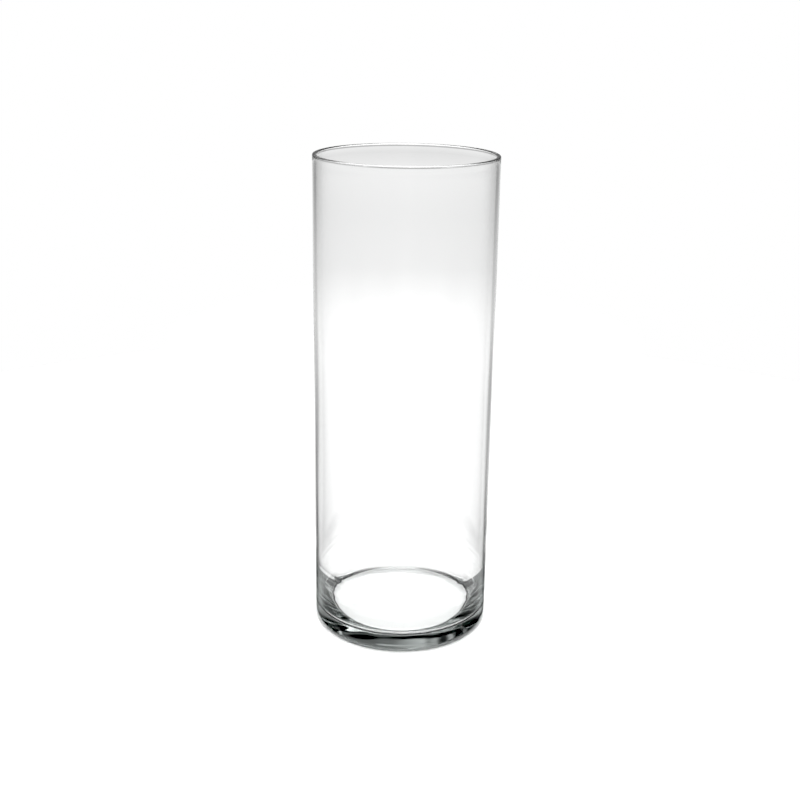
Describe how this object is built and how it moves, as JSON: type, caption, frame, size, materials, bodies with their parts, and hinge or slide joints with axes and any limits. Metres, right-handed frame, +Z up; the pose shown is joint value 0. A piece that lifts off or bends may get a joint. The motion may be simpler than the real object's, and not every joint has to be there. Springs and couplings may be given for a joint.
{
  "type": "cylinder vase",
  "caption": "Tall straight clear glass cylinder vase, open at the top, with a rounded lip and a thick solid base, for cut flowers, branches or candles.",
  "frame": {"origin": "centre of the flat underside, on the surface that the vase stands on", "axes": "+Z up along the axis of the bore, out of the mouth; the vase is round, so +X and +Y are any two square directions"},
  "size_m": [0.148, 0.148, 0.4],
  "materials": {
    "clear_glass": "polished, clear soda-lime"
  },
  "bodies": {
    "root": {"glass_vase": "clear_glass"}
  },
  "joints": []
}
